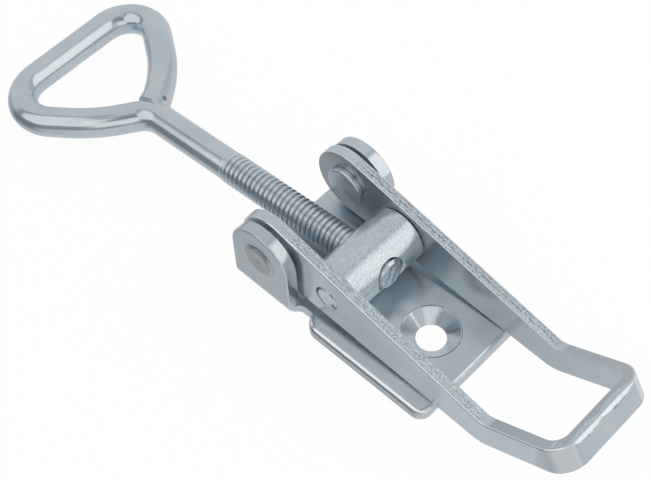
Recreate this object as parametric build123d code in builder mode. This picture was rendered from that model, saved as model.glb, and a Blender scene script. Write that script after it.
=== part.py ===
from build123d import *
import math
import os

os.makedirs("parts", exist_ok=True)

# Adjustable toggle latch, closed, lying as on a bench.
# Frame: origin on the underside of the base, midway between the lever's pivot and the front fixing hole.
# +X runs towards the handle end, +Z is up. Left is +Y and right is -Y. Millimetres.

# ---- base bracket: one folded plate ----
base_t = 3.1              # sheet thickness
base_half_w = 18.0        # half of the overall width, over the ears and the wings
base_rear_x = -26.7
base_front_x = 30.9
bend_in_r = 1.8           # inside radius where the ears are folded up
bend_out_r = bend_in_r + base_t
pivot_x, pivot_z = -18.0, 15.4   # the lever's pivot
ear_r = 8.7               # half-round top of each ear, centred on the pivot
foot_half_w = 14.7        # plate edge at the relief between ear and wing
web_r = 1.8               # inside round between ear and foot
wing_start_x = -5.7
foot_from, foot_to = pivot_x + ear_r - 1, wing_start_x + 6
wing_rear_r = 4.4         # plan corner at the rear of each wing
wing_front_r = 3.0        # plan corner at the front of each wing
edge_roll = 1.25          # rolled-over upper edge of the wings
screw_x = (-6.0, 18.0)    # two countersunk fixing holes, the rear one under the nut
screw_r = 3.6
sink_r = 6.8
sink_depth = 2.85
sink_break = 0.15         # broken edge round each countersink

# ---- lever: one strap bent to a U, lobes at one end, raised hand loop at the other ----
strap_t = 2.9
lever_half_w = 13.9
lobe_r = 9.2
rest_x, rest_z = 30.9, 3.18      # underside of the arms just over the plate's front edge
crank_x, crank_z = 43.9, 10.45   # upper edge where the arms turn up
crank_slope = 0.57
crank_h = 7.0                    # strip height beyond the crank
bar_x = 63.3                     # upper outer edge of the cross bar
corner_r = (6.2, 4.7)            # outer corner radii of the cross bar, right hand and left hand
lever_roll = 0.45                # rolled edge on the outside of the strap
inner_roll = 0.2                 # broken edge on its inside
bar_roll = 1.7                   # upper outer edge of the cross bar, worn round in two runs
bar_roll_runs = ((-5.2, 6.2), (4.4, 6.8))    # middle and half length of each
dent_at = (-3.1, -11.6)          # shallow dent on top of the right hand corner
dent_ball_r, dent_depth = 5.0, 0.13

# ---- trunnion nut: turned bar with two journals and a cross bore ----
nut_x, nut_z = -1.05, 12.7
nut_r = 7.04
nut_half_l = 10.85
journal_r = 3.1
journal_gap = 0.05
journal_proud = 0.1       # staked ends, just proud of the arms
journal_chamfer = 0.12
groove_in_r, groove_depth = 2.5, 0.5     # part of each journal's rim is left sunk
groove_from, groove_sweep = 115, 150      # degrees, seen from the side, from the front upwards
punch_marks = ((103, 2.6, 0.5), (58, 2.6, 0.6), (-34, 2.45, 0.85))   # angle, distance from the middle, radius
punch_depth = 0.7
nut_chamfer = 0.5

# ---- pivot rivets: head inside, shoulder through the arm, end set in the ear ----
rivet_head_r = 5.15
rivet_head_h = 1.35
shoulder_r = 4.2
shoulder_gap = 0.05
tenon_r = 3.3
set_r = 5.6               # riveted end, flush in a countersink of the ear
set_depth = 1.2
boss_r, boss_top_r = 4.5, 3.8   # middle of the riveted end, left standing
boss_h = 0.55
side_play = 0.08

# ---- eye bolt: one bar, threaded at one end, bent to a closed triangle at the other ----
thread_r = 3.97           # 5/16 in thread, 18 turns to the inch
bore_gap = 0.03
mouth_break = 0.45        # broken edge at each mouth of the nut's bore
shank_r = 3.8
rod_tilt = math.radians(4.782)   # the loop end lies on the bench
rod_yaw = math.radians(0.6)      # the bore is a little out of square, towards -Y at the loop
end_s = -6.8              # threaded end, level with the nut's front
thread_to_s = 46.0        # where the thread stops
neck_s = 73.0             # where the bar leaves its own axis
far_s = 106.4             # middle of the loop's far bar
loop_knees = ((81.6, 11.45), (81.4, -12.15))     # each side bulges here
loop_corners = ((far_s, 28.4), (far_s, -29.3))   # corners before rounding
neck_r = 8.0
end_cut = 0.8             # the loop's end is cut off here, inside the shank, and welded
loop_side_r = 42.0
loop_corner_r = (9.6, 8.4)       # right hand and left hand corner


def tangent_to_lobe(px, pz, upper):
    """Point where the line from (px, pz) touches the lobe's circle."""
    dx, dz = pivot_x - px, pivot_z - pz
    dist = math.hypot(dx, dz)
    a = math.atan2(dz, dx)
    b = math.acos(lobe_r / dist)
    ang = a + math.pi + (b if upper else -b)
    return pivot_x + lobe_r * math.cos(ang), pivot_z + lobe_r * math.sin(ang)


# ------------------------------------------------------------------ base bracket
with BuildPart() as base_bracket:
    # folded section of the two ears
    with BuildSketch(Plane.YZ.offset(base_rear_x)):
        with BuildLine():
            FilletPolyline(
                (-base_half_w, 30), (-base_half_w, 0), (base_half_w, 0), (base_half_w, 30),
                radius=bend_out_r,
            )
            Line((base_half_w, 30), (base_half_w - base_t, 30))
            FilletPolyline(
                (base_half_w - base_t, 30), (base_half_w - base_t, base_t),
                (-base_half_w + base_t, base_t), (-base_half_w + base_t, 30),
                radius=bend_in_r,
            )
            Line((-base_half_w + base_t, 30), (-base_half_w, 30))
        make_face()
    extrude(amount=2 * ear_r)
    # side shape of the ears
    with BuildSketch(Plane.XZ.offset(-base_half_w - 1)):
        with Locations((pivot_x, pivot_z / 2)):
            Rectangle(2 * ear_r, pivot_z)
        with Locations((pivot_x, pivot_z)):
            Circle(ear_r)
    extrude(amount=2 * base_half_w + 2, mode=Mode.INTERSECT)
    # rolled outer edge round each ear
    ear_rim = base_bracket.edges().filter_by(
        lambda e: abs(abs(e.center().Y) - base_half_w) < 1e-3 and e.center().Z > bend_out_r + 0.01
    )
    fillet(ear_rim, 0.45)
    # plate: narrow foot behind the wings
    with BuildSketch(Plane.XY):
        with Locations(((foot_from + foot_to) / 2, 0)):
            Rectangle(foot_to - foot_from, 2 * foot_half_w)
    extrude(amount=base_t)

with BuildPart() as wing_plate:
    with BuildSketch(Plane.XY):
        with Locations(((wing_start_x + base_front_x) / 2, 0)):
            Rectangle(base_front_x - wing_start_x, 2 * base_half_w)
    extrude(amount=base_t)
    rear_corners = wing_plate.edges().filter_by(Axis.Z).group_by(Axis.X)[0]
    fillet(rear_corners, wing_rear_r)
    front_corners = wing_plate.edges().filter_by(Axis.Z).group_by(Axis.X)[-1]
    fillet(front_corners, wing_front_r)
    # upper rim: well rolled along the sides, kept crisp across the front
    top_rim = wing_plate.faces().sort_by(Axis.Z)[-1].edges()
    fillet(top_rim.filter_by(lambda e: abs(e.center().Y) > foot_half_w), edge_roll)

# small web left in the corner between each ear and the foot
with BuildPart() as relief_web:
    with BuildSketch(Plane.XY):
        with BuildLine():
            ear_front = pivot_x + ear_r
            Line((ear_front - 1, foot_half_w - 1), (ear_front + web_r, foot_half_w - 1))
            Line((ear_front + web_r, foot_half_w - 1), (ear_front + web_r, foot_half_w))
            RadiusArc((ear_front + web_r, foot_half_w), (ear_front, foot_half_w + web_r), web_r)
            Line((ear_front, foot_half_w + web_r), (ear_front - 1, foot_half_w + web_r))
            Line((ear_front - 1, foot_half_w + web_r), (ear_front - 1, foot_half_w - 1))
        make_face()
        mirror(about=Plane.XZ)
    extrude(amount=base_t)
    # under the round of the fold
    with BuildSketch(Plane.YZ.offset(pivot_x)):
        with Locations((0, 15)):
            RectangleRounded(2 * base_half_w, 30, bend_out_r)
    extrude(amount=30, mode=Mode.INTERSECT)

sink_angle = 2 * math.degrees(math.atan((sink_r - screw_r) / sink_depth))
with BuildPart() as base_whole:
    add(base_bracket.part)
    add(wing_plate.part)
    add(relief_web.part)
    # countersunk fixing holes
    with Locations((screw_x[0], 0, base_t), (screw_x[1], 0, base_t)):
        CounterSinkHole(radius=screw_r, counter_sink_radius=sink_r, depth=base_t, counter_sink_angle=sink_angle)
    chamfer(base_whole.edges().filter_by(
        lambda e: e.geom_type == GeomType.CIRCLE and abs(e.radius - sink_r) < 1e-3 and e.center().Z > base_t - 0.01
    ), sink_break)
    # rivet holes, countersunk outside
    with Locations(Plane((pivot_x, base_half_w, pivot_z), x_dir=(1, 0, 0), z_dir=(0, 1, 0))):
        Cylinder(tenon_r, 8, align=(Align.CENTER, Align.CENTER, Align.MAX), mode=Mode.SUBTRACT)
        Cone(tenon_r, set_r, set_depth, align=(Align.CENTER, Align.CENTER, Align.MAX), mode=Mode.SUBTRACT)
    with Locations(Plane((pivot_x, -base_half_w, pivot_z), x_dir=(1, 0, 0), z_dir=(0, -1, 0))):
        Cylinder(tenon_r, 8, align=(Align.CENTER, Align.CENTER, Align.MAX), mode=Mode.SUBTRACT)
        Cone(tenon_r, set_r, set_depth, align=(Align.CENTER, Align.CENTER, Align.MAX), mode=Mode.SUBTRACT)

base_whole.part.label = "base_bracket"
export_step(base_whole.part, "parts/base_bracket.step")

# ------------------------------------------------------------------ lever
top_x, top_z = tangent_to_lobe(crank_x, crank_z, True)
low_x, low_z = tangent_to_lobe(rest_x, rest_z, False)
crank_a = math.atan(crank_slope)
ca, sa = math.cos(crank_a), math.sin(crank_a)
bar_top = (bar_x, crank_z + crank_slope * (bar_x - crank_x))
bar_low = (bar_top[0] + crank_h * sa, bar_top[1] - crank_h * ca)
# lower edge of the arms carried on until it meets the lower edge of the raised strip
low_slope = (rest_z - low_z) / (rest_x - low_x)
v0 = bar_low[1] - crank_slope * bar_low[0]
knee_x = ((rest_z - low_slope * rest_x) - v0) / (crank_slope - low_slope)
knee_z = v0 + crank_slope * knee_x
over = 6.0   # profile carried past the cross bar, trimmed by the U

with BuildPart() as lever_handle:
    # side shape
    with BuildSketch(Plane.XZ.offset(-lever_half_w)):
        with BuildLine():
            FilletPolyline(
                (top_x, top_z), (crank_x, crank_z),
                (bar_top[0] + over * ca, bar_top[1] + over * sa),
                radius=4.0,
            )
            Line(
                (bar_top[0] + over * ca, bar_top[1] + over * sa),
                (bar_low[0] + over * ca, bar_low[1] + over * sa),
            )
            FilletPolyline(
                (bar_low[0] + over * ca, bar_low[1] + over * sa),
                (knee_x, knee_z), (low_x, low_z),
                radius=8.0,
            )
            ThreePointArc((low_x, low_z), (pivot_x - lobe_r, pivot_z), (top_x, top_z))
        make_face()
    extrude(amount=2 * lever_half_w)
    # U bend, drawn square to the raised strip: two arms and a rounded cross bar
    u_plane = Plane(
        origin=(bar_top[0], 0, bar_top[1]), x_dir=(ca, 0, sa), z_dir=(-sa, 0, ca)
    )
    with BuildSketch(u_plane.offset(-70)):
        with BuildLine():
            FilletPolyline(
                (-120, -lever_half_w), (0, -lever_half_w), (0, lever_half_w), (-120, lever_half_w),
                radius=list(corner_r),
            )
            Line((-120, lever_half_w), (-120, lever_half_w - strap_t))
            FilletPolyline(
                (-120, lever_half_w - strap_t), (-strap_t, lever_half_w - strap_t),
                (-strap_t, -lever_half_w + strap_t), (-120, -lever_half_w + strap_t),
                radius=[corner_r[1] - strap_t, corner_r[0] - strap_t],
            )
            Line((-120, -lever_half_w + strap_t), (-120, -lever_half_w))
        make_face()
    extrude(amount=140, mode=Mode.INTERSECT)
    # holes: pivot and journal, through both arms
    with Locations(Plane((pivot_x, 0, pivot_z), x_dir=(1, 0, 0), z_dir=(0, -1, 0))):
        Cylinder(shoulder_r + shoulder_gap, 4 * lever_half_w, mode=Mode.SUBTRACT)
    with Locations(Plane((nut_x, 0, nut_z), x_dir=(1, 0, 0), z_dir=(0, -1, 0))):
        Cylinder(journal_r + journal_gap, 4 * lever_half_w, mode=Mode.SUBTRACT)


def along_strap(e, skin):
    """Edges that run along the strap on its outer (skin 0) or inner face."""
    c, p = e.center(), u_plane.to_local_coords(e.center())
    a, b = u_plane.to_local_coords(e @ 0), u_plane.to_local_coords(e @ 1)
    hole = e.geom_type == GeomType.CIRCLE and (
        abs(e.radius - shoulder_r - shoulder_gap) < 1e-3 or abs(e.radius - journal_r - journal_gap) < 1e-3
    )
    seam = abs(a.X - b.X) < 1e-3 and abs(a.Y - b.Y) < 1e-3
    across = abs(abs(a.Y) - abs(b.Y)) > 1 and e.length < strap_t + 0.1
    if hole or seam or across:
        return False
    on_arm = abs(abs(c.Y) - (lever_half_w - skin)) < 1e-3
    on_bar = abs(p.X + skin) < 1e-3 and abs(c.Y) < lever_half_w - max(corner_r)
    corner = (
        e.geom_type == GeomType.CIRCLE
        and min(abs(e.radius - (r - skin)) for r in corner_r) < 1e-3
        and p.X > -max(corner_r)
    )
    return on_arm or on_bar or corner


with BuildPart() as lever_edged:
    add(lever_handle.part)
    fillet([e for e in lever_edged.edges() if along_strap(e, 0)], lever_roll)
    fillet([e for e in lever_edged.edges() if along_strap(e, strap_t)], inner_roll)


def edge_wear(middle, half):
    """Rounding tool for the cross bar's upper edge, deepest at its middle and out of the bar at both ends."""
    r = bar_roll
    swing_r = half**2 / (2 * (bar_roll - lever_roll) * (math.sqrt(2) - 1))
    far = swing_r / math.sqrt(2)
    section = Plane(origin=(bar_top[0], middle, bar_top[1]), x_dir=(ca, 0, sa), z_dir=(0, -1, 0))
    pin = Axis(
        (bar_top[0] + far * (ca - sa), middle, bar_top[1] + far * (sa + ca)), (ca + sa, 0, sa - ca)
    )
    with BuildPart() as tool:
        with BuildSketch(section):
            with BuildLine():
                ThreePointArc((-0.02, -r), (-r + r * math.sqrt(0.5) - 0.02, -r + r * math.sqrt(0.5) - 0.02), (-r, -0.02))
                Polyline((-r, -0.02), (-r, 1.2), (1.2, 1.2), (1.2, -r), (-0.02, -r))
            make_face()
        revolve(axis=pin, revolution_arc=20)
        mirror(about=Plane.XZ.offset(-middle))
    return tool.part


with BuildPart() as lever_worn:
    add(lever_edged.part)
    for middle, half in bar_roll_runs:
        add(edge_wear(middle, half), mode=Mode.SUBTRACT)
    with Locations((
        bar_top[0] + dent_at[0] * ca - (dent_ball_r - dent_depth) * sa, dent_at[1],
        bar_top[1] + dent_at[0] * sa + (dent_ball_r - dent_depth) * ca,
    )):
        Sphere(dent_ball_r, mode=Mode.SUBTRACT)

lever_worn.part.label = "lever_handle"
export_step(lever_worn.part, "parts/lever_handle.step")

# ------------------------------------------------------------------ trunnion nut
rod_plane = Plane(
    origin=(nut_x, 0, nut_z),
    x_dir=(-math.cos(rod_tilt) * math.cos(rod_yaw), -math.sin(rod_yaw), -math.sin(rod_tilt) * math.cos(rod_yaw)),
    z_dir=(-math.sin(rod_tilt), 0, math.cos(rod_tilt)),
)
rod_section = Plane(origin=(nut_x, 0, nut_z), x_dir=-rod_plane.y_dir, z_dir=rod_plane.x_dir)
with BuildPart() as trunnion_nut:
    with BuildSketch(Plane.XY.offset(nut_z)):
        with BuildLine():
            Polyline(
                (nut_x, 0), (nut_x + nut_r, 0), (nut_x + nut_r, nut_half_l - nut_chamfer),
                (nut_x + nut_r - nut_chamfer, nut_half_l), (nut_x + journal_r, nut_half_l),
                (nut_x + journal_r, lever_half_w + journal_proud - journal_chamfer),
                (nut_x + journal_r - journal_chamfer, lever_half_w + journal_proud),
                (nut_x, lever_half_w + journal_proud), (nut_x, 0),
            )
        make_face()
        mirror(about=Plane.XZ)
    revolve(axis=Axis((nut_x, 0, nut_z), (0, 1, 0)))
    with Locations(rod_section):
        Cylinder(thread_r + bore_gap, 40, mode=Mode.SUBTRACT)
    chamfer([e for e in trunnion_nut.edges(Select.LAST) if e.geom_type not in (GeomType.LINE, GeomType.CIRCLE)], mouth_break)
    # each journal's end is upset with three punch marks; the rest of its rim stays sunk
    end_y = lever_half_w + journal_proud
    for side in (1, -1):
        for a, d, r in punch_marks:
            px = nut_x + d * math.cos(math.radians(a))
            pz = nut_z + d * math.sin(math.radians(a))
            with Locations(Plane((px, side * end_y, pz), x_dir=(1, 0, 0), z_dir=(0, -side, 0))):
                Cone(r, 0.15, punch_depth, align=(Align.CENTER, Align.CENTER, Align.MIN), mode=Mode.SUBTRACT)
    start = math.radians(groove_from)
    with BuildSketch(Plane((nut_x, 0, nut_z), x_dir=(math.cos(start), 0, math.sin(start)), z_dir=(math.sin(start), 0, -math.cos(start)))):
        with BuildLine():
            Polyline(
                (groove_in_r, end_y + 0.2), (groove_in_r, end_y - 0.05),
                (journal_r - 0.1, end_y - groove_depth), (journal_r + 0.5, end_y - groove_depth),
                (journal_r + 0.5, end_y + 0.2), (groove_in_r, end_y + 0.2),
            )
        make_face()
        mirror(about=Plane.XZ)
    revolve(axis=Axis((nut_x, 0, nut_z), (0, -1, 0)), revolution_arc=groove_sweep, mode=Mode.SUBTRACT)

trunnion_nut.part.label = "trunnion_nut"
export_step(trunnion_nut.part, "parts/trunnion_nut.step")

# ------------------------------------------------------------------ pivot rivets
head_y = lever_half_w - strap_t - side_play     # underside of the head, at the arm's inner face
ear_in_y = base_half_w - base_t


def rivet_profile():
    """Half section in the plane of X (radius) and Y, drawn for the +Y side."""
    Polyline(
        (pivot_x, head_y - rivet_head_h),
        (pivot_x + rivet_head_r - 0.6, head_y - rivet_head_h),
        (pivot_x + rivet_head_r - 0.25, head_y - rivet_head_h + 0.12),
        (pivot_x + rivet_head_r - 0.05, head_y - rivet_head_h + 0.36),
        (pivot_x + rivet_head_r, head_y - rivet_head_h + 0.7),
        (pivot_x + rivet_head_r, head_y),
        (pivot_x + shoulder_r, head_y),
        (pivot_x + shoulder_r, ear_in_y),
        (pivot_x + tenon_r, ear_in_y),
        (pivot_x + tenon_r, base_half_w - set_depth),
        (pivot_x + set_r, base_half_w),
        (pivot_x + set_r - 0.25, base_half_w + 0.04),
        (pivot_x + boss_r, base_half_w + 0.04),
        (pivot_x + boss_top_r + 0.18, base_half_w + boss_h - 0.12),
        (pivot_x + boss_top_r - 0.25, base_half_w + boss_h),
        (pivot_x, base_half_w + boss_h - 0.12),
        (pivot_x, head_y - rivet_head_h),
    )


with BuildPart() as pivot_rivet_left:
    with BuildSketch(Plane.XY.offset(pivot_z)):
        with BuildLine():
            rivet_profile()
        make_face()
    revolve(axis=Axis((pivot_x, 0, pivot_z), (0, 1, 0)))

with BuildPart() as pivot_rivet_right:
    add(pivot_rivet_left.part)
    mirror(about=Plane.XZ, mode=Mode.REPLACE)

pivot_rivet_right.part.label = "pivot_rivet_right"
pivot_rivet_left.part.label = "pivot_rivet_left"
export_step(pivot_rivet_right.part, "parts/pivot_rivet_right.step")
export_step(pivot_rivet_left.part, "parts/pivot_rivet_left.step")

# ------------------------------------------------------------------ eye bolt
# Centre line in the rod's plane: distance from the nut, then sideways (+ towards -Y).
near_side = [(thread_to_s - 8, 0), (neck_s, 0), loop_knees[0], loop_corners[0], (far_s, 0)]
far_side = [(far_s, 0), loop_corners[1], loop_knees[1], (neck_s - 2.9, 4.0)]
with BuildPart() as loop_half:
    with BuildLine(rod_plane):
        FilletPolyline(*far_side, radius=[loop_corner_r[1], loop_side_r])
    with BuildSketch(Plane(origin=rod_plane.from_local_coords((far_s, 0, 0)), x_dir=rod_plane.z_dir, z_dir=-rod_plane.y_dir)):
        Circle(shank_r)
    sweep()
    # the bar's end is cut where it meets the shank
    with Locations(Plane(rod_plane.from_local_coords((neck_s, end_cut, 0)), x_dir=rod_plane.x_dir, z_dir=rod_plane.z_dir)):
        Box(60, 12, 20, align=(Align.CENTER, Align.MIN, Align.CENTER), mode=Mode.SUBTRACT)

with BuildPart() as eye_bolt:
    with BuildLine(rod_plane):
        FilletPolyline(*near_side, radius=[neck_r, loop_side_r, loop_corner_r[0]])
    with BuildSketch(rod_section.offset(thread_to_s - 8)):
        Circle(shank_r)
    sweep()
    add(loop_half.part)
    # thread, at its full diameter
    with BuildSketch(rod_plane):
        with BuildLine():
            Polyline(
                (end_s, 0), (end_s, thread_r - 0.5), (end_s + 0.5, thread_r),
                (thread_to_s - 0.6, thread_r), (thread_to_s, shank_r - 0.15), (thread_to_s, 0), (end_s, 0),
            )
        make_face()
    revolve(axis=Axis(rod_plane.origin, rod_plane.x_dir))

eye_bolt.part.label = "eye_bolt"
export_step(eye_bolt.part, "parts/eye_bolt.step")
print("overall", eye_bolt.part.bounding_box(), lever_edged.part.bounding_box())
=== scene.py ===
import math

import bmesh
import bpy
import numpy as np
from mathutils import Matrix, Vector


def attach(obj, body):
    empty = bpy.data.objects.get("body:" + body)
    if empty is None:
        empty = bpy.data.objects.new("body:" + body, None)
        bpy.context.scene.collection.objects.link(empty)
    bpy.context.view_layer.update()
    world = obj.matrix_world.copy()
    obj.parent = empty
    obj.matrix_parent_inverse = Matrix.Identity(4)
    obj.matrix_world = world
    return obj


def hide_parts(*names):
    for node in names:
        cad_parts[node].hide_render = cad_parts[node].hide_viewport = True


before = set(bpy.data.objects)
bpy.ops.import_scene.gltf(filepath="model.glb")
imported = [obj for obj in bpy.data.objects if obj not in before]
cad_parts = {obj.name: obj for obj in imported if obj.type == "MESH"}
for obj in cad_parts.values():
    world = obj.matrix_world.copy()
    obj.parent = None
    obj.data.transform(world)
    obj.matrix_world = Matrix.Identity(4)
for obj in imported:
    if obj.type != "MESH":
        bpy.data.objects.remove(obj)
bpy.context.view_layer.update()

MM = 0.001
scene = bpy.context.scene

# ------------------------------------------------------------------ camera
# Looks down on the latch from the right and a little in front, about 40 degrees off straight down.
CAM_AT = Vector((125.5654, -135.4706, 283.6279)) * MM
CAM_RIGHT = Vector((0.7243921546, 0.6887154634, -0.0304469508))
CAM_DOWN = Vector((0.5503580628, -0.6043357399, -0.5760940169))
CAM_FORWARD = Vector((-0.4151650383, 0.4005612613, -0.8168161769))
CAM_F = 1454.367                               # focal length in pixels of a 651 wide image

cam = bpy.data.cameras.new("camera")
cam.sensor_fit = "HORIZONTAL"
cam.sensor_width = 36.0
cam.lens = CAM_F / 651.0 * 36.0
cam.clip_start, cam.clip_end = 0.01, 20.0
cam_ob = bpy.data.objects.new("camera", cam)
scene.collection.objects.link(cam_ob)
axes = Matrix((CAM_RIGHT, -CAM_DOWN, -CAM_FORWARD)).transposed()
cam_ob.matrix_world = Matrix.Translation(CAM_AT) @ axes.to_4x4()
scene.camera = cam_ob

scene.view_settings.view_transform = "Standard"
scene.view_settings.look = "None"
scene.view_settings.exposure = 0.0
scene.view_settings.gamma = 1.0
scene.cycles.max_bounces = 16
scene.cycles.glossy_bounces = 14


# ------------------------------------------------------------------ node helpers
class Nodes:
    """Short ways to build a shader tree."""

    def __init__(self, tree):
        self.tree = tree
        tree.nodes.clear()

    def add(self, kind, **props):
        n = self.tree.nodes.new(kind)
        for k, v in props.items():
            setattr(n, k, v)
        return n

    def put(self, value, socket):
        if hasattr(value, "is_output"):
            self.tree.links.new(value, socket)
        else:
            socket.default_value = value

    def math(self, op, a, b=None, c=None, clamp=False):
        n = self.add("ShaderNodeMath", operation=op, use_clamp=clamp)
        for i, v in enumerate((a, b, c)):
            if v is not None:
                self.put(v, n.inputs[i])
        return n.outputs[0]

    def vmath(self, op, a, b=None, scale=None):
        n = self.add("ShaderNodeVectorMath", operation=op)
        self.put(a, n.inputs[0])
        if b is not None:
            self.put(b, n.inputs[1])
        if scale is not None:
            self.put(scale, n.inputs["Scale"])
        return n.outputs["Value"] if op in ("DOT_PRODUCT", "LENGTH", "DISTANCE") else n.outputs[0]

    def ramp(self, v, lo, hi, to_lo=0.0, to_hi=1.0, smooth=True):
        n = self.add("ShaderNodeMapRange", interpolation_type="SMOOTHSTEP" if smooth else "LINEAR")
        for name, value in (("Value", v), ("From Min", lo), ("From Max", hi), ("To Min", to_lo), ("To Max", to_hi)):
            self.put(value, n.inputs[name])
        return n.outputs[0]

    def noise(self, co, scale, detail=2.0, rough=0.5, distort=0.0):
        n = self.add("ShaderNodeTexNoise")
        self.put(co, n.inputs["Vector"])
        n.inputs["Scale"].default_value = scale
        n.inputs["Detail"].default_value = detail
        n.inputs["Roughness"].default_value = rough
        n.inputs["Distortion"].default_value = distort
        return n.outputs[0]

    def add_noise(self, co, scale):
        """Noise as a vector, for shifting coordinates."""
        n = self.add("ShaderNodeTexNoise")
        self.put(co, n.inputs["Vector"])
        n.inputs["Scale"].default_value = scale
        return n.outputs["Color"]

    def mix(self, f, a, b):
        n = self.add("ShaderNodeMix", data_type="RGBA")
        self.put(f, n.inputs[0])
        self.put(a, n.inputs[6])
        self.put(b, n.inputs[7])
        return n.outputs[2]

    def stretch(self, co, scale):
        n = self.add("ShaderNodeMapping")
        self.put(co, n.inputs[0])
        n.inputs["Scale"].default_value = scale
        return n.outputs[0]

    def product(self, *parts):
        out = parts[0]
        for p in parts[1:]:
            out = self.math("MULTIPLY", out, p)
        return out


# ------------------------------------------------------------------ surroundings
# A pale studio: even grey all round, a white softbox to the right and a wide one in front on the
# left, each in a darker frame, and a darker gap low down in front.
def studio():
    world = bpy.data.worlds.new("studio")
    world.use_nodes = True
    scene.world = world
    t = Nodes(world.node_tree)
    co = t.add("ShaderNodeTexCoord").outputs["Generated"]
    sep = t.add("ShaderNodeSeparateXYZ")
    t.put(co, sep.inputs[0])
    x, y, z = sep.outputs
    deg = 180.0 / math.pi
    az = t.math("MULTIPLY", t.math("ARCTAN2", y, x), deg)
    el = t.math("MULTIPLY", t.math("ARCSINE", z), deg)

    def inside(v, lo, hi, soft):
        return t.product(
            t.ramp(t.math("SUBTRACT", v, lo), -soft, soft), t.ramp(t.math("SUBTRACT", hi, v), -soft, soft)
        )

    # right softbox in a dark frame
    r_box = t.product(inside(az, 17.0, 72.0, 0.8), inside(el, 0.0, 62.5, 0.8))
    r_rim = t.product(inside(az, 11.0, 96.0, 2.5), inside(el, -0.5, 68.5, 1.5))
    # front left softbox, with its left and lower edges on a slant
    left = t.math("MULTIPLY_ADD", t.math("SUBTRACT", el, 35.0), -0.5, -141.0)
    low = t.math("MULTIPLY_ADD", t.math("ADD", az, 78.0), 0.16, 21.0)
    high = t.math("MULTIPLY_ADD", t.ramp(az, -84.0, -98.0), 6.0, 66.0)
    l_box = t.product(inside(az, left, -60.0, 1.5), inside(el, low, high, 1.5))
    l_rim = t.product(
        inside(az, t.math("SUBTRACT", left, 14.0), -40.0, 4.0), inside(el, -6.0, t.math("ADD", high, 6.0), 3.5)
    )
    low_gap = t.product(inside(az, -145.0, -98.0, 8.0), inside(el, -27.0, 12.0, 4.0))
    # the bench falls off towards the front
    bench = t.product(inside(az, -172.0, -82.0, 22.0), t.ramp(el, -64.0, -24.0), t.ramp(el, 10.0, -4.0))

    # lower end of the left softbox, with the gap above it
    low_box = t.product(inside(az, -61.0, -16.0, 2.5), inside(el, 10.0, 44.0, 1.5))
    high_gap = t.product(inside(az, -56.0, 14.0, 8.0), inside(el, 47.0, 84.0, 3.0))

    v = t.math("MULTIPLY_ADD", r_rim, -0.14, BASE_LIGHT)
    v = t.math("MULTIPLY", v, t.math("MULTIPLY_ADD", high_gap, -0.55, 1.0))
    v = t.math("MULTIPLY", v, t.math("MULTIPLY_ADD", bench, -0.42, 1.0))
    v = t.math("SUBTRACT", v, t.math("MULTIPLY", t.math("MAXIMUM", l_rim, low_gap), BASE_LIGHT - 0.24))
    v = t.math("MAXIMUM", v, 0.16)
    v = t.math("ADD", t.math("MULTIPLY", v, t.math("SUBTRACT", 1.0, r_box)), t.math("MULTIPLY", r_box, 1.10))
    l_box = t.math("MAXIMUM", l_box, low_box)
    v = t.math("ADD", t.math("MULTIPLY", v, t.math("SUBTRACT", 1.0, l_box)), t.math("MULTIPLY", l_box, 0.93))
    bg = t.add("ShaderNodeBackground")
    t.put(t.mix(t.ramp(v, 0.20, 0.85), (0.86, 1.0, 1.13, 1.0), (1.01, 1.0, 0.992, 1.0)), bg.inputs[0])
    t.put(v, bg.inputs[1])
    out = t.add("ShaderNodeOutputWorld")
    t.put(bg.outputs[0], out.inputs[0])


BASE_LIGHT = 0.64
studio()

# soft light from above for the floor alone; the metal takes its light from the surroundings
top = bpy.data.lights.new("overhead", "AREA")
top.shape = "DISK"
top.size = 1.6
top.energy = 6.0
top_ob = bpy.data.objects.new("overhead", top)
top_ob.location = (0.1, 0.1, 1.4)
top_ob.visible_glossy = False
scene.collection.objects.link(top_ob)


# ------------------------------------------------------------------ floor and backdrop
def new_mesh(name, verts, faces, smooth=False):
    me = bpy.data.meshes.new(name)
    me.from_pydata([tuple(map(float, v)) for v in verts], [], [tuple(int(i) for i in f) for f in faces])
    me.validate()
    me.update()
    if smooth:
        me.polygons.foreach_set("use_smooth", [True] * len(me.polygons))
    ob = bpy.data.objects.new(name, me)
    scene.collection.objects.link(ob)
    return ob


def stage_disc(name, radius, z):
    n = 96
    verts = [(0, 0, z)] + [(radius * math.cos(2 * math.pi * i / n), radius * math.sin(2 * math.pi * i / n), z) for i in range(n)]
    return new_mesh(name, verts, [(0, 1 + i, 1 + (i + 1) % n) for i in range(n)])


floor = stage_disc("floor", 4.0, -0.00003)
m = bpy.data.materials.new("floor_paper")
m.use_nodes = True
t = Nodes(m.node_tree)
paper = t.add("ShaderNodeBsdfDiffuse")
co = t.add("ShaderNodeTexCoord").outputs["Object"]
t.put(t.mix(t.noise(co, 900.0, 3.0), (0.86, 0.86, 0.86, 1), (0.88, 0.88, 0.88, 1)), paper.inputs[0])
glow = t.add("ShaderNodeEmission")
glow.inputs[0].default_value = (1.0, 1.0, 1.0, 1.0)
glow.inputs[1].default_value = 1.012
both = t.add("ShaderNodeMixShader")
both.inputs[0].default_value = 0.94
t.put(paper.outputs[0], both.inputs[1])
t.put(glow.outputs[0], both.inputs[2])
out = t.add("ShaderNodeOutputMaterial")
t.put(both.outputs[0], out.inputs[0])
floor.data.materials.append(m)
floor.visible_glossy = False
floor.visible_shadow = False

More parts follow.
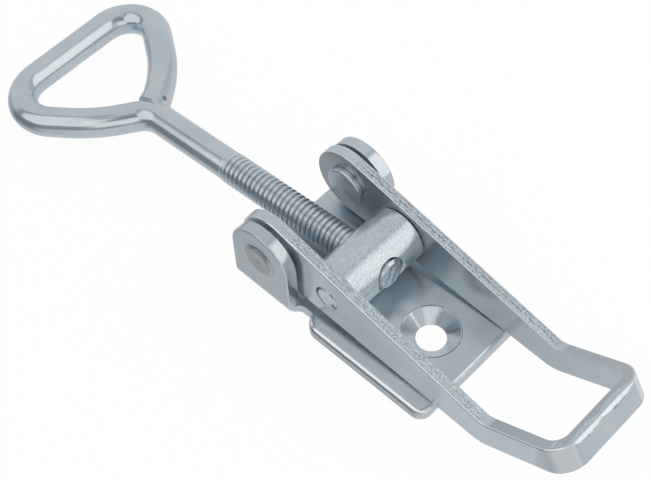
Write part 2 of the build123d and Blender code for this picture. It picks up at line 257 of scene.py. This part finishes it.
# pale wall far behind everything, there for the low views only
n_u, n_v = 64, 16
verts = []
for j in range(n_v + 1):
    e = math.radians(-3 + 93 * j / n_v)
    for i in range(n_u):
        a = 2 * math.pi * i / n_u
        verts.append((3.9 * math.cos(e) * math.cos(a), 3.9 * math.cos(e) * math.sin(a), 3.9 * math.sin(e)))
faces = [
    (j * n_u + i, j * n_u + (i + 1) % n_u, (j + 1) * n_u + (i + 1) % n_u, (j + 1) * n_u + i)
    for j in range(n_v) for i in range(n_u)
]
wall = new_mesh("wall", verts, faces, smooth=True)
m = bpy.data.materials.new("wall_paint")
m.use_nodes = True
t = Nodes(m.node_tree)
b = t.add("ShaderNodeEmission")
b.inputs[0].default_value = (0.90, 0.90, 0.90, 1)
out = t.add("ShaderNodeOutputMaterial")
t.put(b.outputs[0], out.inputs[0])
wall.data.materials.append(m)
for flag in ("visible_glossy", "visible_diffuse", "visible_shadow", "visible_transmission", "visible_volume_scatter"):
    setattr(wall, flag, False)


# ------------------------------------------------------------------ plated steel
def plated(name, tint=(0.640, 0.690, 0.722), rough=0.22, rough_var=0.05, grain=0.5, grain_scale=2600.0,
           peel=0.3, peel_scale=420.0, mottle=0.05, sheared=None, smoother=None, worn=None, shade_and_dark_lines=None, rings=None, painted_shade=None, burnish_and_highlight=None, streak=None,
           speck=0.12):
    """Bright zinc plate: a clear metal with faint cloudy colour, fine grain and a slight ripple.
    sheared gives a mask of edges left by the press, smoother one of burnished faces, worn one of
    dull warm faces, shade_and_dark_lines one of places made near black (painted shade in grooves, gaps
    and recesses, and dark edge lines), painted_shade one of faces darkened with painted shade,
    burnish_and_highlight one of lighter rounds, partly burnish and partly painted highlight,
    streak the direction of drawing or turning lines, speck the strength of the sandy grain."""
    m = bpy.data.materials.new(name)
    m.use_nodes = True
    t = Nodes(m.node_tree)
    tc = t.add("ShaderNodeTexCoord")
    co = tc.outputs["Object"]
    nrm = tc.outputs["Normal"]
    cloud = t.noise(co, 110.0, 3.0, 0.55, 0.4)
    fine = t.noise(co, grain_scale, 3.0, 0.6)
    wave = t.noise(co, peel_scale, 2.0, 0.5)
    bs = t.add("ShaderNodeBsdfPrincipled")
    bs.inputs["Metallic"].default_value = 0.86
    bs.inputs["IOR"].default_value = 1.3
    hi = tuple(c * (1 + mottle) for c in tint)
    cool = (tint[0] * (1 - mottle * 0.9), tint[1] * (1 - mottle * 0.3), tint[2] * (1 + mottle * 0.3))
    base = t.mix(t.ramp(cloud, 0.34, 0.66), (*cool, 1), (*hi, 1))
    base = t.mix(t.ramp(fine, 0.60, 0.80, 0.0, 0.30), base, (*[c * 0.72 for c in tint], 1))
    sand = t.add("ShaderNodeTexVoronoi")
    t.put(co, sand.inputs["Vector"])
    sand.inputs["Scale"].default_value = 3700.0
    chance = split(t, sand.outputs["Color"])[1]
    base = t.mix(t.ramp(chance, 0.5, 0.0, 0.0, speck), base, (*[c * 0.72 for c in tint], 1))
    base = t.mix(t.ramp(chance, 0.5, 1.0, 0.0, speck), base, (*[min(1.0, c * 1.28) for c in tint], 1))
    r = t.math("ADD", rough - rough_var, t.math("MULTIPLY", cloud, 2 * rough_var))
    height = t.math("MULTIPLY", wave, peel)
    height = t.math("ADD", height, t.math("MULTIPLY", fine, grain * 0.30))
    if streak is not None:
        lines = t.noise(t.stretch(co, streak), 1.0, 3.0, 0.6)
        height = t.math("ADD", height, t.math("MULTIPLY", lines, 0.10))
        r = t.math("ADD", r, t.ramp(lines, 0.4, 0.7, 0.0, 0.05))
    if rings is not None:
        height = t.math("ADD", height, rings(t, co, nrm))
    if smoother is not None:
        r = t.math("SUBTRACT", r, t.math("MULTIPLY", smoother(t, co, nrm), 0.11))
    if worn is not None:
        w = worn(t, co, nrm)
        blot = t.noise(co, 700.0, 4.0, 0.65, 0.8)
        dull = t.mix(blot, (0.42, 0.420, 0.405, 1), (0.58, 0.580, 0.565, 1))
        base = t.mix(w, base, dull)
        r = t.math("ADD", r, t.math("MULTIPLY", w, 0.10))
        height = t.math("ADD", height, t.product(w, blot, 1.6))
    rag = None
    if sheared is not None:
        mask, seam = sheared(t, co, nrm)
        cell = t.add("ShaderNodeTexVoronoi")
        t.put(t.vmath("ADD", t.stretch(co, (0.62, 1.0, 1.0)), t.vmath("SCALE", t.add_noise(co, 1500.0), scale=0.00018)), cell.inputs["Vector"])
        cell.inputs["Scale"].default_value = 4700.0
        crumb = split(t, cell.outputs["Color"])[0]
        pits = t.noise(co, 3600.0, 2.0, 0.7, 0.2)
        rag = t.math("MULTIPLY", pits, 0.9)
        rag = t.math("MULTIPLY", rag, mask)
        rag = t.math("SUBTRACT", rag, t.math("MULTIPLY", seam, 0.5))
        r = t.math("ADD", r, t.math("MULTIPLY", mask, 0.05))
        fade = t.ramp(split(t, co)[0], 0.005, 0.040, 0.50, 0.34)
        dark = t.math("MAXIMUM", t.product(mask, t.ramp(crumb, 0.34, 0.16), fade), t.math("MULTIPLY", seam, 0.9))
        base = t.mix(dark, base, (*[c * 0.36 for c in tint], 1))
        base = t.mix(t.product(mask, t.ramp(crumb, 0.45, 0.85), 0.6), base, (*[min(1.0, c * 1.35) for c in tint], 1))
    # near black: painted shade in grooves, gaps and recesses, and dark lines along the countersinks and wings
    if shade_and_dark_lines is not None:
        base = t.mix(shade_and_dark_lines(t, co, nrm), base, (0.13, 0.13, 0.13, 1))
    # near white on rounds and chamfers: partly burnish, partly painted highlight
    if burnish_and_highlight is not None:
        base = t.mix(t.math("MULTIPLY", burnish_and_highlight(t, co, nrm), 0.85), base, (0.93, 0.95, 0.96, 1))
    # painted shade: chosen faces are mixed towards a darker tint
    if painted_shade is not None:
        base = t.mix(painted_shade(t, co, nrm), base, (*[c * 0.55 for c in tint], 1))
    t.put(base, bs.inputs["Base Color"])
    t.put(r, bs.inputs["Roughness"])
    bump = t.add("ShaderNodeBump")
    bump.inputs["Strength"].default_value = 1.0
    bump.inputs["Distance"].default_value = 0.00003
    t.put(height, bump.inputs["Height"])
    last = bump.outputs[0]
    if rag is not None:
        deep = t.add("ShaderNodeBump")
        deep.inputs["Strength"].default_value = 1.0
        deep.inputs["Distance"].default_value = 0.00004
        t.put(rag, deep.inputs["Height"])
        t.put(last, deep.inputs["Normal"])
        last = deep.outputs[0]
    t.put(last, bs.inputs["Normal"])
    out = t.add("ShaderNodeOutputMaterial")
    t.put(bs.outputs[0], out.inputs[0])
    return m


def split(t, v):
    n = t.add("ShaderNodeSeparateXYZ")
    t.put(v, n.inputs[0])
    return n.outputs


def strap_edges(t, co, nrm):
    """Edges of the straight arms, where the strap was sheared, and the ragged seam along their middle."""
    x, y, z = split(t, co)
    flat = t.ramp(t.math("ABSOLUTE", split(t, nrm)[1]), 0.20, 0.08)
    along = t.product(t.ramp(x, -0.0170, -0.0110), t.ramp(x, 0.0440, 0.0425))
    mask = t.product(flat, along)
    drift = t.noise(co, 420.0, 4.0, 0.7)
    place_ = t.math("ADD", t.math("ABSOLUTE", y), t.math("MULTIPLY", t.math("SUBTRACT", drift, 0.5), 0.0012))
    line = t.ramp(t.math("ABSOLUTE", t.math("SUBTRACT", place_, 0.01235)), 0.00030, 0.00012)
    rim = t.ramp(t.math("ABSOLUTE", t.math("SUBTRACT", place_, 0.01318)), 0.00024, 0.00010, 0.0, 0.8)
    line = t.math("MAXIMUM", line, rim)
    gaps = t.ramp(t.noise(co, 1300.0, 3.0, 0.6), 0.40, 0.50)
    left = t.ramp(y, -0.002, 0.002)
    return mask, t.product(mask, line, t.math("MULTIPLY_ADD", gaps, 0.8, 0.2), t.math("MULTIPLY_ADD", left, 0.5, 0.5))


def rolled_corners(t, nrm, lo=0.25, hi=0.93):
    """Burnished round between an upper and a side face."""
    nx, ny, nz = split(t, nrm)
    return t.product(t.ramp(nz, lo, lo + 0.15), t.ramp(nz, hi, hi - 0.10))


def strap_painted_shade(t, co, nrm):
    """Painted shade: darker colour on the right arm's outer face past the nut, the left arm's inner face, most of all
    at its lobe, the handle's upper edges, a ragged line on the handle's front round and the cross bar's right corner."""
    x, y, z = split(t, co)
    nx, ny, nz = split(t, nrm)
    face = t.ramp(ny, -0.85, -0.95)
    outer = t.product(face, t.ramp(y, -0.010, -0.012), t.ramp(x, -0.006, 0.003), t.ramp(x, 0.030, 0.010), 0.32)
    lobe = t.ramp(x, -0.004, -0.010, 0.46, 0.78)
    inner = t.product(face, t.ramp(y, 0.009, 0.010), t.ramp(x, 0.075, 0.020), lobe)
    front = t.ramp(x, 0.0445, 0.0460)
    edges = t.product(front, t.ramp(nx, -0.40, -0.47), t.ramp(nz, 0.80, 0.86), 0.40)
    bar = t.product(t.ramp(x, 0.0570, 0.0590), t.ramp(y, -0.0080, -0.0105), t.ramp(nz, 0.64, 0.54), 0.32)
    ragged = t.ramp(t.noise(co, 900.0, 3.0, 0.65), 0.44, 0.54)
    line = t.product(front, t.ramp(nx, 0.66, 0.74), t.ramp(nx, 0.862, 0.840), t.ramp(nz, 0.4, 0.5), t.ramp(t.math("ABSOLUTE", ny), 0.12, 0.06), ragged)
    return t.math("MAXIMUM", t.math("MAXIMUM", outer, inner), t.math("MAXIMUM", t.math("MAXIMUM", edges, bar), line))


def sheet_painted_shade(t, co, nrm):
    """Painted shade: darker colour on the right hand ear's outer face, less on its rim, and on the front of the plate.
    """
    x, y, z = split(t, co)
    nx, ny, nz = split(t, nrm)
    ear = t.product(t.ramp(ny, -0.85, -0.95), t.ramp(y, -0.0165, -0.0175), 0.45)
    rim = t.product(ear_rims(t, co, nrm), t.ramp(y, -0.012, -0.014), 0.20)
    plate = t.product(t.ramp(nz, 0.93, 0.98), t.ramp(x, 0.020, 0.028), 0.22)
    return t.math("MAXIMUM", ear, t.math("MAXIMUM", rim, plate))


def rivet_painted_shade(t, co, nrm):
    """Painted shade: darker colour on the right hand rivet round its struck end, and on the left one's inner head."""
    y = split(t, co)[1]
    face = t.ramp(split(t, nrm)[1], -0.5, -0.8)
    return t.product(face, t.math("MAXIMUM", t.ramp(y, -0.0165, -0.0175, 0.0, 0.45), t.ramp(y, 0.006, 0.008, 0.0, 0.26)))


def sheet_burnish_and_highlight(t, co, nrm):
    """Rolled edges of the wings and the plate's front edge, made lighter: partly burnish, partly painted highlight."""
    x, y, z = split(t, co)
    place_ = t.math("MAXIMUM", t.ramp(t.math("ABSOLUTE", y), 0.0144, 0.0150), t.ramp(x, 0.0298, 0.0303, 0.0, 0.15))
    return t.product(rolled_corners(t, nrm, 0.35, 0.97), t.ramp(z, 0.0038, 0.0034), place_)


def ring_line(t, co, centre, flat_axes, radius, half):
    """Thin ragged circle of the given radius about an axis."""
    d = t.vmath("LENGTH", t.vmath("MULTIPLY", t.vmath("SUBTRACT", co, centre), flat_axes))
    line = t.ramp(t.math("ABSOLUTE", t.math("SUBTRACT", d, radius)), half * 1.6, half * 0.5)
    return t.product(line, t.ramp(t.noise(co, 650.0, 3.0, 0.6), 0.36, 0.52, 0.25, 1.0))


def sheet_dark_lines(t, co, nrm):
    """Dark ragged lines along the rims of the two countersinks, and under the wings' rolled edge."""
    z = split(t, co)[2]
    rings = t.math("MAXIMUM", ring_line(t, co, (-0.006, 0.0, 0.0), (1.0, 1.0, 0.0), 0.00692, 0.00011),
                   ring_line(t, co, (0.018, 0.0, 0.0), (1.0, 1.0, 0.0), 0.00692, 0.00011))
    rings = t.product(rings, t.ramp(z, 0.0026, 0.0028), t.ramp(z, 0.0040, 0.0034), 0.62)
    nz = split(t, nrm)[2]
    ragged = t.ramp(t.noise(co, 1500.0, 3.0, 0.65), 0.42, 0.54)
    wing = t.product(t.ramp(t.math("ABSOLUTE", split(t, co)[1]), 0.0160, 0.0165), t.ramp(z, 0.0034, 0.0032), t.ramp(nz, 0.26, 0.36),
                     t.ramp(nz, 0.62, 0.52), ragged, 0.50)
    return t.math("MAXIMUM", rings, wing)


def strap_gap_shade(t, co, nrm):
    """Painted shade in the gap round the nut's journals, as a dark ragged ring on the arms' outer faces."""
    face = t.ramp(t.math("ABSOLUTE", split(t, nrm)[1]), 0.85, 0.95)
    outside = t.ramp(t.math("ABSOLUTE", split(t, co)[1]), 0.0134, 0.0137)
    return t.product(ring_line(t, co, (-0.00105, 0.0, 0.0127), (1.0, 0.0, 1.0), 0.00318, 0.00010), face, outside, 0.70)


def strap_corners(t, co, nrm):
    """Rounds along the strap's upper edges, and a ragged strip on the cross bar's outer round; as a colour mask,
    partly burnish and partly painted highlight.
    """
    nx, ny, nz = split(t, nrm)
    side = t.math("ABSOLUTE", ny)
    arms = t.product(t.ramp(side, 0.20, 0.34), t.ramp(side, 0.99, 0.96), t.ramp(nz, 0.10, 0.25))
    bar = t.product(t.ramp(split(t, co)[0], 0.0585, 0.0600), t.ramp(nx, 0.18, 0.34), t.ramp(nx, 0.80, 0.72), t.ramp(nz, 0.5, 0.6), t.ramp(t.noise(co, 260.0, 3.0, 0.6), 0.38, 0.52, 0.0, 0.45))
    return t.math("MAXIMUM", arms, bar)


def sheet_corners(t, co, nrm):
    """Ear rims, wing edges and the countersinks."""
    z = split(t, co)[2]
    return t.math("MAXIMUM", ear_rims(t, co, nrm), t.product(rolled_corners(t, nrm, 0.15, 0.97), t.ramp(z, 0.0045, 0.0038)))


def turned_rings(t, co, nrm):
    """Fine turned rings on the rivets' inner heads."""
    d = t.vmath("LENGTH", t.vmath("MULTIPLY", t.vmath("SUBTRACT", co, (-0.018, 0.0, 0.0154)), (1.0, 0.0, 1.0)))
    wave = t.math("SINE", t.math("MULTIPLY", d, 9500.0))
    y = t.math("ABSOLUTE", split(t, co)[1])
    flat = t.ramp(t.math("ABSOLUTE", split(t, nrm)[1]), 0.7, 0.95)
    return t.product(wave, flat, t.ramp(y, 0.0125, 0.0115), 0.45)


def journal_pit_shade(t, co, nrm):
    """Punch marks and the sunk rim in the staked ends of the journals, darkened with painted shade."""
    y = t.math("ABSOLUTE", split(t, co)[1])
    return t.product(t.ramp(y, 0.0128, 0.0130), t.ramp(y, 0.01396, 0.01372), 0.85)


def nut_corners(t, co, nrm):
    """Turned chamfers at the ends of the nut's barrel, made lighter: partly burnish, partly painted highlight."""
    y = t.math("ABSOLUTE", split(t, co)[1])
    ny = t.math("ABSOLUTE", split(t, nrm)[1])
    return t.product(t.ramp(y, 0.01015, 0.01035), t.ramp(y, 0.01092, 0.01087), t.ramp(ny, 0.25, 0.45), t.ramp(ny, 0.97, 0.88))


def plate_edges(t, co, nrm):
    """Cut edges of the base plate."""
    side = t.ramp(t.math("ABSOLUTE", split(t, nrm)[2]), 0.5, 0.2)
    low = t.ramp(split(t, co)[2], 0.0034, 0.0028)
    mask = t.product(side, low, 0.45)
    return mask, t.math("MULTIPLY", mask, 0.0)


def ear_rims(t, co, nrm):
    """Cut rims of the ears."""
    x, y, z = split(t, co)
    return t.product(t.ramp(t.math("ABSOLUTE", split(t, nrm)[1]), 0.4, 0.15), t.ramp(z, 0.0045, 0.0060))


def rivet_ends(t, co, nrm):
    """Struck ends of the rivets, outside the ears."""
    y = t.math("ABSOLUTE", split(t, co)[1])
    return t.product(t.ramp(y, 0.01825, 0.01845), t.ramp(t.math("ABSOLUTE", split(t, nrm)[1]), 0.35, 0.60))


def rivet_foot_shade(t, co, nrm):
    """Painted shade round the foot of each struck end, as a dark ragged ring."""
    outside = t.ramp(t.math("ABSOLUTE", split(t, co)[1]), 0.0178, 0.0180)
    return t.product(ring_line(t, co, (-0.018, 0.0, 0.0154), (1.0, 0.0, 1.0), 0.00452, 0.00012), outside, 0.60)


def rod_groove_and_pit_shade(t, co, nrm):
    """Painted shade in the grooves of the thread, and at the pit near the weld."""
    v = t.vmath("SUBTRACT", co, tuple(NUT * MM))
    r = t.vmath("LENGTH", t.vmath("CROSS_PRODUCT", v, tuple(S_AX)))
    s = t.vmath("DOT_PRODUCT", v, tuple(S_AX))
    groove = t.product(t.ramp(r, 0.00372, 0.00335), t.ramp(s, -0.0066, -0.0064), t.ramp(s, 0.046, 0.044), t.ramp(t.noise(co, 900.0, 2.0), 0.35, 0.65, 0.10, 0.36))
    return t.math("MAXIMUM", groove, rod_pit_shade(t, co, nrm))


def rod_pit_shade(t, co, nrm):
    """Painted shade of a small pit left by the welding near the closed end of the loop, as a dark spot with no pit in
    the mesh.
    """
    d = t.vmath("DISTANCE", co, PIT_AT)
    return t.ramp(d, 0.00105, 0.00035, 0.0, 0.75)


PIT_AT = (-0.07336, 0.00355, 0.00919)

# the eye bolt's own axes: s runs from the nut back to the loop, w to the right hand side
TILT, YAW = math.radians(4.782), math.radians(0.6)
NUT = np.array([-1.05, 0.0, 12.7])
N_AX = np.array([-math.sin(TILT), 0.0, math.cos(TILT)])
S_AX = np.array([-math.cos(TILT) * math.cos(YAW), -math.sin(YAW), -math.sin(TILT) * math.cos(YAW)])
W_AX = np.cross(N_AX, S_AX)

# The sheet, strap and rivets carry painted shade on chosen faces; the sheet carries dark lines at the countersinks and
# wings, the other parts near-black painted shade in recesses, gaps or grooves; rounds and the nut's chamfers are
# lighter, partly painted highlight.
sheet = plated("zinc_on_sheet", rough=0.21, sheared=plate_edges, smoother=sheet_corners, painted_shade=sheet_painted_shade, burnish_and_highlight=sheet_burnish_and_highlight,
               shade_and_dark_lines=sheet_dark_lines, grain=2.4)
strap = plated("zinc_on_strap", rough=0.21, sheared=strap_edges, smoother=strap_corners, painted_shade=strap_painted_shade, burnish_and_highlight=strap_corners,
               shade_and_dark_lines=strap_gap_shade, grain=2.4)
turned = plated("zinc_on_turned_steel", rough=0.13, grain=5.5, grain_scale=2300.0, streak=(120.0, 5200.0, 120.0), shade_and_dark_lines=journal_pit_shade, burnish_and_highlight=nut_corners,
                speck=0.42)
rivet = plated("zinc_on_rivet", rough=0.20, worn=rivet_ends, rings=turned_rings, painted_shade=rivet_painted_shade, shade_and_dark_lines=rivet_foot_shade, grain=2.0)
rod = plated("zinc_on_rod", rough=0.16, rough_var=0.04, grain=1.2, grain_scale=2300.0, peel=0.5, shade_and_dark_lines=rod_groove_and_pit_shade, speck=0.07)


def dress(node, mat):
    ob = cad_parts[node]
    if not ob.material_slots:
        ob.data.materials.append(mat)
    for s in ob.material_slots:
        s.material = mat


dress("base_bracket", sheet)
dress("lever_handle", strap)
dress("trunnion_nut", turned)
dress("pivot_rivet_right", rivet)
dress("pivot_rivet_left", rivet)

# ------------------------------------------------------------------ eye bolt
# One bar in a tilted plane.
THREAD_R, SHANK_R, PITCH = 3.97, 3.80, 25.4 / 18
END_S, THREAD_TO = -6.8, 46.0
SEG = 72

PATH = [(THREAD_TO, 0.0), (73.0, 0.0), (81.6, 11.45), (106.4, 28.4), (106.4, -29.3), (81.4, -12.15), (70.1, 4.0)]
RADII = [8.0, 42.0, 9.6, 8.4, 42.0]


def rounded(points, radii):
    """Points and headings along straight runs joined by tangent arcs."""
    pts = [np.array(p, float) for p in points]
    line = [(pts[0], None)]
    out = []
    prev = pts[0]
    for i in range(1, len(pts) - 1):
        a, b, c = pts[i - 1], pts[i], pts[i + 1]
        d1, d2 = (b - a) / np.linalg.norm(b - a), (c - b) / np.linalg.norm(c - b)
        turn_a = math.acos(max(-1, min(1, float(d1 @ d2))))
        side = 1.0 if d1[0] * d2[1] - d1[1] * d2[0] > 0 else -1.0
        cut = radii[i - 1] * math.tan(turn_a / 2)
        start = b - d1 * cut
        out.append(("line", prev, start, d1))
        left = np.array([-d1[1], d1[0]]) * side
        centre = start + left * radii[i - 1]
        out.append(("arc", centre, start, d1, turn_a * side, radii[i - 1]))
        prev = b + d2 * cut
    last = (pts[-1] - prev) / np.linalg.norm(pts[-1] - prev)
    out.append(("line", prev, pts[-1], last))
    stations = []
    for piece in out:
        if piece[0] == "line":
            _, p, q, d = piece
            n = max(2, int(np.linalg.norm(q - p) / 1.2))
            for k in range(n):
                stations.append((p + (q - p) * k / n, d))
        else:
            _, centre, start, d, ang, rad = piece
            n = max(6, int(abs(ang) / math.radians(3.0)))
            for k in range(n):
                a = ang * k / n
                rot = np.array([[math.cos(a), -math.sin(a)], [math.sin(a), math.cos(a)]])
                stations.append((centre + rot @ (start - centre), rot @ d))
    stations.append((pts[-1], last))
    return stations


def place(s, w, n):
    return NUT + s * S_AX + w * W_AX + n * N_AX


THREAD_DEPTH = 0.72


def thread_radius(phase, s, ang):
    """Rolled thread: broad crests with a slight seam, 60 degree flanks, rounded roots."""
    d = abs((phase % 1.0) - 0.5) * 2.0            # 0 in the root's middle, 1 in the crest's
    root, crest = 0.16, 0.60
    f = max(0.0, min(1.0, (d - root) / (crest - root)))
    f = f * f * (3 - 2 * f) * 0.45 + f * 0.55
    # towards the plain shank the crests aren't filled and keep a groove
    open_ = max(0.0, min(1.0, (s - 33.0) / 9.0))
    seam = math.exp(-(((d - 1.0) / 0.15) ** 2))
    return THREAD_R - THREAD_DEPTH * (1.0 - f) - seam * (0.025 + 0.13 * open_) + 0.014 * lump(ang, s * 0.9, 2.0)


def lump(a, b, c):
    """A smooth fixed wobble."""
    return (math.sin(3.1 * a + 1.3 * b + 0.7) * math.cos(2.3 * b - 1.9 * c + 0.2) + 0.6 * math.sin(5.7 * c - 2.9 * a + 1.9) + 0.4 * math.sin(9.1 * b + 4.7 * a)) / 2.0


def build_bolt():
    per = 14                                      # steps in one pitch
    ds = PITCH / per
    lo_i = -per - 2
    hi_i = int((THREAD_TO - END_S) / ds) + 3
    verts, faces = [], []
    index = {}
    for i in range(lo_i, hi_i + per + 1):
        for k in range(SEG):
            ph = k / SEG
            s_raw = END_S + (i + per * ph) * ds
            s = min(max(s_raw, END_S), THREAD_TO)
            r = thread_radius(i / per, s, ph * 2 * math.pi)
            # lead-in: the crests are turned down and a little upset at the end
            edge = 3.28 + (s - END_S) * 1.15 + 0.05 * lump(ph * 6.28, s, 1.0)
            r = 3.28 if s <= END_S else min(r, edge)
            # run-out into the plain shank
            f = (s - (THREAD_TO - 3.2)) / 3.2
            f = max(0.0, min(1.0, f))
            f = f * f * (3 - 2 * f)
            r = r * (1 - f) + SHANK_R * f
            if s_raw >= THREAD_TO:
                r = SHANK_R
            ang = 2 * math.pi * ph
            verts.append(place(s, r * math.cos(ang), r * math.sin(ang)))
            index[i, k] = len(verts) - 1
    for i in range(lo_i, hi_i):
        for k in range(SEG):
            if k < SEG - 1:
                q = (index[i, k], index[i + 1, k], index[i + 1, k + 1], index[i, k + 1])
            else:
                q = (index[i, k], index[i + 1, k], index[i + 1 + per, 0], index[i + per, 0])
            faces.append(q)

    # plain bar
    st = rounded(PATH, RADII)
    rings = []
    far_d = st[-1][1]
    for j, (p, d) in enumerate(st):
        left = np.array([-d[1], d[0]])
        ring = []
        # upset a little where the bar was bent hardest
        bar_r = SHANK_R * (1.0 + 0.055 * math.exp(-(((p[0] - 105.0) ** 2 + (p[1] + 18.0) ** 2) / 60.0)))
        for k in range(SEG):
            a = 2 * math.pi * k / SEG
            # at s direction d = (1, 0) the ring's first point lies at +w, as in the thread
            off = left * (bar_r * math.cos(a))
            ring.append(np.array([p[0] + off[0], p[1] + off[1], SHANK_R * math.sin(a)]))
        rings.append((np.array(ring), p, d))
    # the bar's end: cut off slantwise along the shank and pressed against it, edge rounded
    w_end = -0.95
    inner = np.array([-far_d[1], far_d[0]]) * -1.0          # towards the loop's opening
    cut_rings = []
    keep = []
    for j, (ring, p, d) in enumerate(rings):
        if j > 0.6 * len(rings) and p[0] < 90 and ring[:, 1].max() > w_end - 0.9:
            break
        keep.append(ring)
    last = keep[-1]
    # slide the last ring's points along the bar to just short of the cut, then round the edge over
    dirn = far_d / np.linalg.norm(far_d)
    for back, shrink in ((0.55, 0.0), (0.26, 0.05), (0.08, 0.19), (0.0, 0.42)):
        ring = last.copy()
        mid = last.mean(0)
        for k in range(SEG):
            q = last[k].copy()
            rad = q - mid
            q = mid + rad * (1 - shrink / SHANK_R)
            t_move = (w_end - back - q[1]) / dirn[1]
            q[0] += dirn[0] * t_move
            q[1] += dirn[1] * t_move
            wob = 0.03 * lump(k * 0.35, 1.0, 2.0)
            ring[k] = q + np.array([0.0, wob if back < 0.3 else 0.0, 0.0])
            # the end is upset a little towards the opening
            side = max(0.0, float(rad[:2] @ inner) / SHANK_R)
            spread = side * side * (0.75 - 0.55 * abs(back - 0.2))
            ring[k] += np.array([inner[0] * spread, inner[1] * spread, 0.0])
        cut_rings.append(ring)
    keep += cut_rings
    base = len(verts)
    for ring in keep:
        for q in ring:
            verts.append(place(*q))
    for j in range(len(keep) - 1):
        for k in range(SEG):
            a, b2 = base + j * SEG + k, base + j * SEG + (k + 1) % SEG
            faces.append((a, a + SEG, b2 + SEG, b2))
    # close the cut end
    tip = keep[-1].mean(0)
    verts.append(place(*tip))
    c = len(verts) - 1
    o = base + (len(keep) - 1) * SEG
    for k in range(SEG):
        faces.append((o + k, c, o + (k + 1) % SEG))

    # front face, spread with a punch: shallow ridges and dents
    prev = None
    n_r = 14
    face0 = len(verts)
    for j in range(n_r):
        r = 3.28 * (1 - (j + 1) / n_r)
        if j == n_r - 1:
            verts.append(place(END_S - 0.05, 0, 0))
            break
        for k in range(SEG):
            a = 2 * math.pi * k / SEG
            x, y = r * math.cos(a), r * math.sin(a)
            f = min(1.0, (3.28 - r) / 0.7)
            dent = 0.10 * math.sin(2.6 * (0.75 * x + 0.62 * y) + 1.1 * math.sin(1.3 * x - 0.8 * y)) + 0.06 * lump(x * 1.3, y * 1.1, 3.0)
            verts.append(place(END_S - 0.06 * f + dent * f, x, y))
    for k in range(SEG):
        k2 = (k + 1) % SEG
        for j in range(n_r - 2):
            a, b2 = face0 + j * SEG + k, face0 + j * SEG + k2
            faces.append((a, b2, b2 + SEG, a + SEG))
        a, b2 = face0 + (n_r - 2) * SEG + k, face0 + (n_r - 2) * SEG + k2
        faces.append((a, b2, face0 + (n_r - 1) * SEG))
    # join the face to the thread's first ring, which lies on a circle
    for k in range(SEG):
        k2 = (k + 1) % SEG
        i0 = index[lo_i, k]
        i1 = index[lo_i, k2]
        faces.append((i0, i1, face0 + k2, face0 + k))

    ob = new_mesh("eye_bolt_bar", [np.array(v) * MM for v in verts], faces, smooth=True)
    bm = bmesh.new()
    bm.from_mesh(ob.data)
    bmesh.ops.remove_doubles(bm, verts=bm.verts, dist=2e-6)
    bmesh.ops.dissolve_degenerate(bm, edges=bm.edges, dist=1e-7)
    loose = [v for v in bm.verts if not v.link_faces]
    bmesh.ops.delete(bm, geom=loose, context="VERTS")
    print("open edges", sum(len(e.link_faces) != 2 for e in bm.edges))
    bmesh.ops.recalc_face_normals(bm, faces=bm.faces)
    bm.to_mesh(ob.data)
    bm.free()
    return ob


bolt = build_bolt()
bolt.data.materials.append(rod)
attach(bolt, "bolt")
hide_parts("eye_bolt")
print("bolt", len(bolt.data.vertices), "vertices", len(bolt.data.polygons), "faces")
